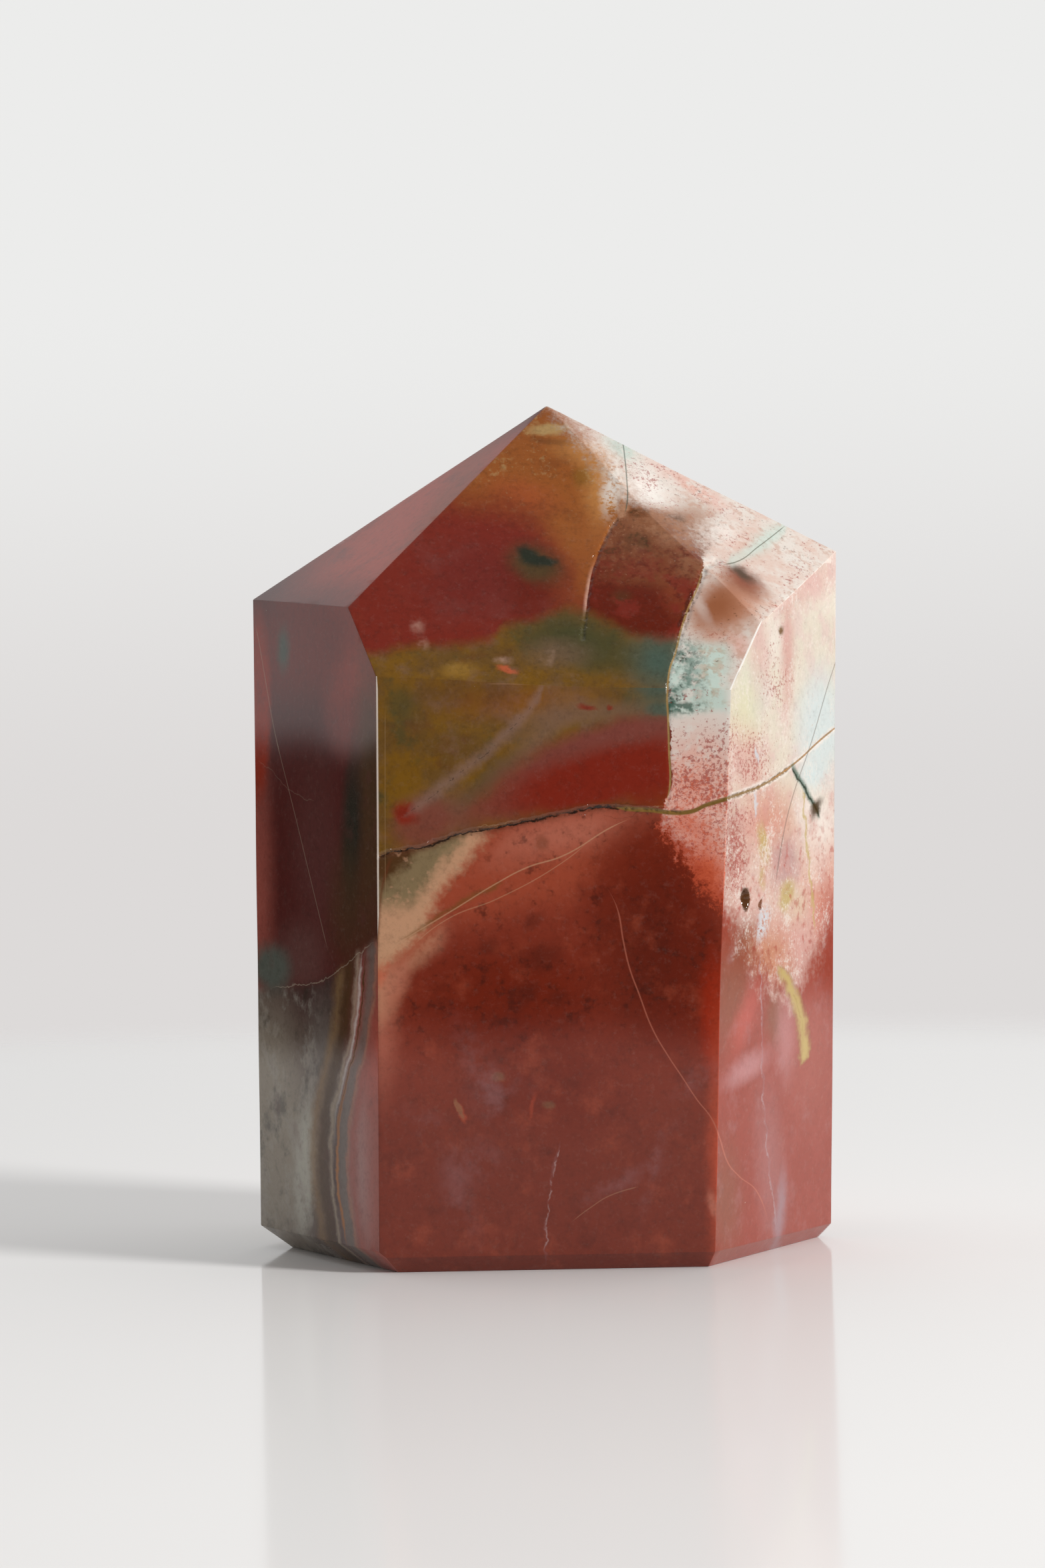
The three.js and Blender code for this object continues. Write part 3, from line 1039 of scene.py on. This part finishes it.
IVORY = colour(206, 195, 178)
PETAL = colour(194, 148, 138)
ICE = colour(194, 203, 201)
SALMON = colour(142, 64, 51)
CLAY = colour(138, 60, 46)
BROWN = colour(126, 74, 54)
BLOOM = colour(164, 84, 72)
APRICOT = colour(188, 116, 94)
STRAWY = colour(202, 194, 160)
LEMON = colour(176, 154, 96)
LILAC = colour(160, 124, 124)
PEARL = colour(190, 188, 190)
ROSY = colour(160, 92, 80)
FLUSH = colour(178, 82, 72)
BLOSSOM = colour(168, 114, 112)
NECTAR = colour(202, 152, 134)
GREYISH = colour(104, 92, 82)
HAREBELL = colour(146, 118, 122)


def right_colour():
    low = paint(
        blend(SALMON, CLAY, murk.ease(0.4, 0.6)),
        near,
        (
            (CLAY, 16, 8, 2, 9, 0, 0.7, 0.8),
            (BROWN, 15.4, 25, 2.2, 4.4, -10, 0.9, 0.8),
            (FLUSH, 16.9, 22.4, 0.9, 3, -22, 0.9, 0.6),
            (BROWN, 20.1, 22, 1.0, 2.4, 0, 0.7, 0.9),
            (BLOSSOM, 17, 17.8, 2.6, 1.0, 24, 0.8, 0.9),
            (BLOSSOM, 21.3, 20, 1.0, 3.4, 0, 0.9, 0.8),
            (BROWN, 14.6, 6, 1.4, 4.6, 0, 0.9, 0.7),
            (LILAC, 19.5, 8, 1.4, 7, 4, 0.8, 0.3),
            (ROSY, 24, 18, 2.6, 6, 0, 0.9, 0.4),
        ),
    )
    low = blend(low, LILAC, haze.ease(0.52, 0.74, 0.2))
    _, low_edge = drawn(
        nx, ((14, 34), (15, 33), (16, 31.5), (17, 30), (18, 28.5), (20, 26), (22, 25), (24, 27), (25.5, 29.4), (28, 32))
    )
    top = blend(blend(IVORY, SHELL, murk.ease(0.42, 0.6)), PETAL, z.ease(44, 34, 0.6))
    top = paint(
        top,
        near,
        (
            (ICE, 25.5, 49, 3, 5, 0, 0.6, 0.9),
            (ICE, 24.4, 44.5, 1.6, 1.4, 0, 0.8, 0.9),
            (ICE, 17.5, 52, 2, 2.6, 0, 0.6, 0.6),
            (STRAWY, 17, 51, 1.8, 3.2, 0, 0.9, 0.8),
            (PETAL, 17, 45.8, 3, 2.6, -30, 0.9, 0.7),
            (APRICOT, 19.6, 40.6, 3.4, 2.8, 0, 0.9, 0.7),
            (SALMON, 15.2, 38, 1.6, 3.6, 0, 0.9, 0.5),
            (NECTAR, 25.8, 34, 2.2, 5, 0, 0.9, 0.9),
            (MILK, 25.6, 40, 2.2, 2.6, 0, 0.9, 0.8),
            (APRICOT, 25.4, 30.4, 1.0, 2.4, 10, 0.8, 0.7),
            (SAND, 21, 26.6, 1.0, 1.8, 0, 0.8, 0.7),
            (LILAC, 21.2, 36.4, 1.5, 2, 0, 0.8, 0.7),
            (STRAWY, 22.2, 32, 1.2, 1.8, 0, 0.9, 0.7),
            (MILK, 23.8, 41.2, 1.4, 1.6, 0, 0.9, 0.5),
            (MILK, 25.2, 36, 1.2, 1.8, 0, 0.9, 0.4),
            (MILK, 20, 56.8, 1.6, 2, 0, 0.9, 0.5),
            (IVORY, 22.2, 54.6, 1.6, 1.8, 0, 0.9, 0.6),
            (PETAL, 21.7, 56, 0.6, 5.5, 0, 0.9, 0.8),
            (PETAL, 24, 62.5, 5, 1.6, 26, 0.9, 0.7),
            (PETAL, 18.6, 56, 0.9, 3.4, 0, 0.9, 0.5),
            (PETAL, 22, 28.6, 3.4, 3, 0, 0.9, 0.9),
            (BLOOM, 26.6, 28.5, 1.2, 6, 6, 0.8, 0.7),
            (BROWN, 16.2, 28, 2.2, 3.4, -30, 0.8, 1.0),
            (TAWNY, 19.4, 27.4, 2.6, 2.8, 0, 0.8, 0.9),
            (LEMON, 19, 38, 0.6, 1.9, 10, 0.5, 0.8),
            (LEMON, 18.8, 35.4, 0.35, 1.2, 0, 0.5, 0.7),
            (LEMON, 21.4, 33.4, 0.7, 1.5, -16, 0.5, 0.8),
        ),
    )
    top = blend(top, PETAL, tone.ease(0.5, 0.72, 0.6) * z.ease(48, 42))
    top = blend(top, BLOOM, (haze + frost).ease(0.94, 0.7, 0.6) * z.ease(43, 36))
    top = blend(top, MILK, (haze + salt).ease(1.0, 1.3, 0.6))
    rash = patch(near, on_front(17.4, 46.6), (3.6, 9, 2.4), (0, 0.4, 0), 0.9, 0.22)
    rash = rash + patch(near, on_front(20.4, 53.8), (1.8, 9, 2.6), (0, 0, 0), 0.9, 0.18)
    rash = rash + patch(near, on_front(15.6, 38.4), (2.4, 9, 4.4), (0, 0, 0), 0.9, 0.24)
    top = speckled(top, BLOOD, pepper, rash + tone.ease(0.35, 0.7, 0.14) + 0.2, 0.6)
    top = speckled(top, BRASS, salt, murk.ease(0.4, 0.7, 0.12) + 0.2, 0.5)
    edge = fz - low_edge + (haze + murk - 1) * (nx.ease(25, 20, 5) + 4) + (frost + soot + pepper - 1.5) * 2.4
    skin = blend(low, top, edge.ease(-3, 2.8))
    skin = dusted(skin, 0.35, 0.5)
    skin = paint(
        skin,
        near,
        (
            (HAREBELL, 20.5, 3.4, 0.5, 3.4, -6, 0.8, 0.8),
            (CINDER, 16.95, 33.4, 0.48, 1.1, 0, 0.15, 1.0),
            (TOAST, 18.6, 32.6, 0.28, 0.5, 0, 0.2, 1.0),
            (OLIVE, 21, 58, 0.26, 0.34, 0, 0.6, 0.9),
            (PEARL, 18.2, 46.6, 0.12, 0.7, 6, 0.5, 0.9),
            (PEARL, 18.1, 42, 0.14, 1.2, 0, 0.5, 0.9),
        ),
    )
    yellow = ((16.8, 22.9), (18.4, 23.3), (20.4, 23.2), (22.4, 22.7), (24.4, 21.9), (26, 21.1), (27.2, 20.4))
    skin = blend(skin, BROWN, vein(z, nx, yellow, 0.95, 0.5, 0.5))
    skin = blend(skin, LEMON, vein(z, nx + frost * 0.5 - 0.25, yellow, 0.85, 0.8, 0.9))
    skin = blend(skin, MUSTARD, vein(z, nx, yellow[1:5], 0.2, 0.4, 0.6) * haze.ease(0.4, 0.56))
    crust = patch(near, on_front(18.8, 31), (0.6, 9, 1.4), (0, 0.3, 0), 0.7, 1.0) * (frost + salt).ease(0.84, 1.02)
    skin = blend(skin, PEARL, crust)
    skin = blend(skin, MILK, vein(x, nz, MAIN_CRACK[15:], 0.5, 0.3, 0.7))
    skin = blend(skin, OLIVE, vein(x, z, MAIN_CRACK[13:20], 0.34, 0.2, 0.8) * (frost + salt).ease(0.8, 1.1))
    skin = blend(skin, GOLD, vein(x, z, MAIN_CRACK[13:], 0.18, 0.14, 0.9))
    skin = blend(skin, HONEY, vein(x, z, MAIN_CRACK[17:], 0.12, 0.14, 0.7) * frost.ease(0.34, 0.6))
    skin = blend(skin, FERN, vein(x, nz, ((21.9, 45.6), (22.5, 44.8), (23.8, 42.8), (25.4, 40.4)), 0.8, 0.7, 0.8))
    skin = blend(skin, PINE, vein(x, nz, ((21.9, 45.4), (22.5, 44.6), (23.8, 42.8), (25.4, 40.2)), 0.3, 0.3, 0.9))
    skin = blend(skin, MUD, patch(near, on_front(24.9, 41.3), (0.45, 9, 1.0), (0, 0.5, 0), 0.6, 0.9))
    skin = blend(
        skin, GREYISH, vein(z, x, ((33, 20), (38.5, 21), (42, 22), (47.5, 24.3), (54, 26.7), (59, 29)), 0.1, 0.14, 0.9)
    )
    skin = blend(skin, LEMON, vein(z, nx, ((29, 24.6), (36, 24), (40, 23.6), (44, 23.2)), 0.2, 0.24, 0.85))
    lilac_vein = ((1, 20.4), (8.5, 19.3), (15.5, 18.7), (24, 18.6), (30, 18.4))
    skin = blend(skin, HAREBELL, vein(z, nx, lilac_vein, 0.16, 0.4, 0.7))
    skin = blend(skin, PEARL, vein(z, nx, lilac_vein, 0.12, 0.24, 0.5) * haze.ease(0.44, 0.58))
    return blend(skin, PINK, vein(z, x, upright(HEALED_CRACK), 0.12, 0.12, 0.6))


open_jasper("jasper_right")
finish_jasper(right_colour())


# The left side
# Maroon jasper above and grey quartz below, parted by thin bands of clay and cream that run down to the
# front's foot.

MAROON = colour(88, 33, 28)
ORCHID = colour(98, 54, 50)
TAR = colour(52, 46, 36)
KHAKI = colour(82, 58, 34)
FLAME = colour(156, 46, 18)
QUARTZ = colour(152, 140, 124)
CLOUD = colour(180, 175, 162)
SHADE = colour(74, 46, 42)
SLATE = colour(116, 106, 98)
BISCUIT = colour(204, 186, 162)
SIENNA = colour(110, 62, 34)
BERRY = colour(160, 82, 70)
BRIAR = colour(200, 80, 58)
ASH = colour(104, 65, 60)
LICHEN = colour(94, 97, 88)
WHEAT = colour(140, 108, 70)
UMBER = colour(84, 56, 28)
OCHRE = colour(176, 112, 54)


def left_colour():
    skin = paint(
        MAROON,
        near,
        (
            (ORCHID, -9, 38, 4, 7, 0, 0.7, 0.8),
            (BRIAR, -9, 70, 14, 10, 0, 0.4, 1.0),
            (BRIAR, -15.4, 56, 4, 6, 0, 0.9, 0.8),
            (WINE, -7, 57.6, 11, 4.6, -4, 0.6, 1.0),
            (WINE, -15, 50.6, 3.4, 3, 0, 0.9, 0.8),
            (ASH, -6, 28, 4, 3, 0, 0.8, 1.0),
            (OLIVE, -10, 68, 1.6, 14, -52, 0.8, 0.4),
            (BERRY, 2, 35, 2.6, 12, 0, 0.8, 1.0),
            (FLAME, 1.4, 52, 2.3, 8.5, 0, 0.3, 1.0),
            (KHAKI, -17.8, 43, 2.2, 12, 0, 0.8, 0.9),
            (TAR, -14.8, 40, 1.5, 6.5, 4, 0.7, 1.0),
            (KHAKI, -14, 33, 3, 5, 0, 0.7, 0.6),
        ),
        on_left,
    )
    foot = paint(
        SHADE,
        near,
        (
            (SLATE, -9.6, 19, 2.6, 5, 0, 0.8, 0.8),
            (QUARTZ, 1, 10, 9, 13, 0, 0.5, 1.0),
            (CLOUD, -6.2, 8.4, 1.7, 6, 6, 0.5, 1.0),
            (BERRY, -18.4, 13, 4.4, 17, 0, 0.5, 1.0),
            (BRIAR, -18.6, 22, 2.6, 5, 0, 0.9, 0.6),
            (LINT, -14.8, 8, 2, 9, 0, 0.9, 0.6),
        ),
        on_left,
    )
    foot = blend(foot, CLOUD, haze.ease(0.46, 0.66, 0.6) * ny.ease(-10, -7))
    foot = blend(foot, TAR, murk.ease(0.5, 0.7, 0.6) * ny.ease(-13, -9))
    bands = ((1, -12.8), (4, -12.2), (8, -11.3), (12, -11.4), (17, -12.9), (22, -15), (26, -15.8), (30, -16.4))
    _, line = drawn(z, bands)
    across = ny - line + (haze - 0.5) * 1.2
    for tint, middle, half_width, rim, strength in (
        (UMBER, 1.9, 1.0, 1.0, 0.85),
        (WHEAT, 3.4, 0.5, 0.9, 0.8),
        (BISCUIT, 0.5, 0.2, 0.5, 0.6),
        (SLATE, -1.7, 1.0, 0.8, 0.8),
        (BERRY, -3.2, 0.7, 0.8, 0.8),
        (TAWNY, -2.4, 0.16, 0.3, 0.5),
    ):
        foot = blend(foot, tint, (half_width - abs(across - middle)).ease(-rim, rim, strength))
    _, seam = drawn(ny, ((-19, 30.4), (-16, 29), (-13, 27.5), (-9, 26), (2, 24.6)))
    skin = blend(foot, skin, (nz - seam).ease(-0.7, 0.7))
    skin = paint(
        skin,
        near,
        (
            (LICHEN, -0.6, 26.8, 3.4, 2.2, 0, 0.5, 1.0),
            (TEAL, -3.4, 57, 1.0, 1.8, 0, 0.8, 0.9),
        ),
        on_left,
    )
    skin = blend(skin, ORCHID, haze.ease(0.5, 0.75, 0.4))
    skin = dusted(skin, 0.6, 0.4)
    skin = blend(skin, WHITE_AND_GLINT, vein(z, ny, bands, 0.4, 0.6, 0.7) * z.ease(8, 22))
    thread = tuple((up, back - 0.6) for up, back in bands)
    skin = blend(skin, OCHRE, vein(z, ny, thread, 0.4, 0.45, 0.95) * z.ease(24, 14))
    skin = blend(skin, UMBER, vein(z, ny, thread, 0.18, 0.18, 0.9) * z.ease(9, 18))
    for path, half_width, strength in (
        (((28, -11), (36.5, -7.3), (39.5, -6), (43.5, -4.2), (47, -2.6), (50, -1.4)), 0.1, 0.4),
        (((46.5, -2.8), (50, -1.4), (53.5, -0.3), (55.5, 0.3), (57.8, 1), (60, 1.8)), 0.12, 0.35),
    ):
        skin = blend(skin, BISCUIT, vein(z, y, path, half_width, 0.15, strength))
    skin = blend(skin, BISCUIT, vein(y, nz, ((-9, 42.6), (-4.5, 43.6), (-1, 45.6), (2, 46.6)), 0.1, 0.2, 0.25))
    return blend(skin, BISCUIT, vein(y, nz, ((-19, 30.4), (-16, 29), (-13, 27.5), (-9, 26), (0, 25)), 0.1, 0.15, 0.5))


open_jasper("jasper_left")
finish_jasper(left_colour())


# The back and the base
# The same fields, cut elsewhere: the red mass with the clay band above it, a pale corner, grey quartz at
# the left's foot, and the main crack, which runs right through.


def back_colour():
    skin = red_mass()
    clay = paint(
        clay_bed(),
        flow,
        (
            (SMOKE, 10, 60, 12, 1.6, -24, 0.8, 0.9),
            (SMOKE, -22, 58, 12, 1.4, 16, 0.8, 0.9),
            (LENS, -8, 55, 9, 3, 16, 0.6, 1.0),
            (DUSK, -24, 52, 6, 2, -10, 0.7, 0.9),
            (TEAL, 16, 62, 4, 3, 0, 0.8, 0.8),
        ),
        on_back,
    )
    roughly = (haze + murk - 1) * 4 + (frost + soot - 1) * 1.6
    skin = blend(skin, clay, over_crack().ease(-0.06, 0.1))
    skin = blend(skin, WINE, (over_clay() - roughly * 0.3).ease(-0.8, 0.6))
    skin = clouded(skin, HEATHER, ((4, 20, 5, 9, -30), (-16, 30, 7, 4, 40), (14, 12, 8, 3, 24)), on_back)
    pale_back = patch(flow, on_back(25, 50), (10, 30, 21), (0, 0.4, 0), 0.8, 5) + roughly
    top = blend(blend(SHELL, IVORY, murk.ease(0.4, 0.6)), PETAL, haze.ease(0.42, 0.62, 0.9))
    top = blend(top, ICE, tone.ease(0.54, 0.7, 0.5))
    top = blend(top, LEMON, (tone + frost).ease(0.8, 0.6, 0.4))
    top = speckled(top, BLOOD, pepper, haze.ease(0.4, 0.6, 0.2) + 0.24, 0.6)
    skin = blend(skin, EMBER, pale_back.ease(0, 2.2, 0.9))
    skin = blend(skin, top, pale_back.ease(1.2, 3.8))
    glassy = patch(flow, on_back(-27, 6), (12, 30, 15), (0, 0.4, 0), 0.8, 5) + roughly * 0.8
    quartz = blend(blend(QUARTZ, CLOUD, haze.ease(0.42, 0.62)), TAR, murk.ease(0.5, 0.72, 0.5))
    skin = blend(skin, SIENNA, glassy.ease(1.2, 1.8) * glassy.ease(2.6, 1.8))
    skin = blend(skin, quartz, glassy.ease(1.8, 2.6))
    skin = paint(
        skin,
        flow,
        (
            (AMBER, 2, 76, 8, 5, 0, 0.7, 0.9),
        ),
        on_back,
    )
    skin = dusted(skin, 0.7, 0.35)
    for path, half_width, strength in (
        (((-26, 34), (-12, 27), (2, 31), (14, 24), (26, 29)), 0.12, 0.7),
        (((-24, 12), (-14, 19), (-4, 22), (6, 33)), 0.08, 0.6),
        (((-8, 4), (2, 9), (12, 10), (24, 17)), 0.3, 0.4),
        (((-18, 66), (-6, 62), (8, 66), (22, 62)), 0.1, 0.5),
    ):
        skin = blend(skin, PINK, vein(nx, nz, path, half_width, 0.16, strength))
    skin = blend(skin, RUST, vein(x, z, MAIN_CRACK, 0.4, 0.4, 0.6))
    return blend(skin, STRAW, vein(x, z, tuple((across, up + 0.5) for across, up in MAIN_CRACK), 0.1, 0.1, 0.8))


open_jasper("jasper_back")
finish_jasper(back_colour())


# The facets
# Each group of facets takes its own colours, and they meet along the ground edges. A bevel at the foot
# belongs to the side above it, and a rounded edge to the side that shows in front.

EDGE_REACH = 0.15

GROUPS = (
    (on_front(0, 25),),
    (on_front(0, 65), on_front(12, 68)),
    (on_front(22, 30),),
    (on_left(-8, 30), on_left(-6, 70)),
)


def facet_under(spot, favoured=()):
    """The number of the facet that a place lies on. The favoured ones reach a little past their edges."""

    def level(number):
        normal, reach = PLANES[number]
        return normal.dot(spot) - reach + EDGE_REACH * (number in favoured)

    return max(range(len(PLANES)), key=level)


def side_above(bevel):
    """The upright facet that a bevel at the foot belongs to."""
    upright_ones = [number for number, (normal, _) in enumerate(PLANES) if abs(normal.z) < 0.2]
    return max(upright_ones, key=lambda number: PLANES[number][0].xy.dot(PLANES[bevel][0].xy))


owners = {facet_under(spot): group for group, spots in enumerate(GROUPS) for spot in spots}
for number, (normal, _) in enumerate(PLANES):
    if -0.95 < normal.z < -0.2:
        owners[number] = owners.get(side_above(number), len(GROUPS))
for face in stone.data.polygons:
    number = facet_under((face.center - Vector((TIP.x, TIP.y, 0))) / MM, owners)
    face.material_index = owners.get(number, len(GROUPS))
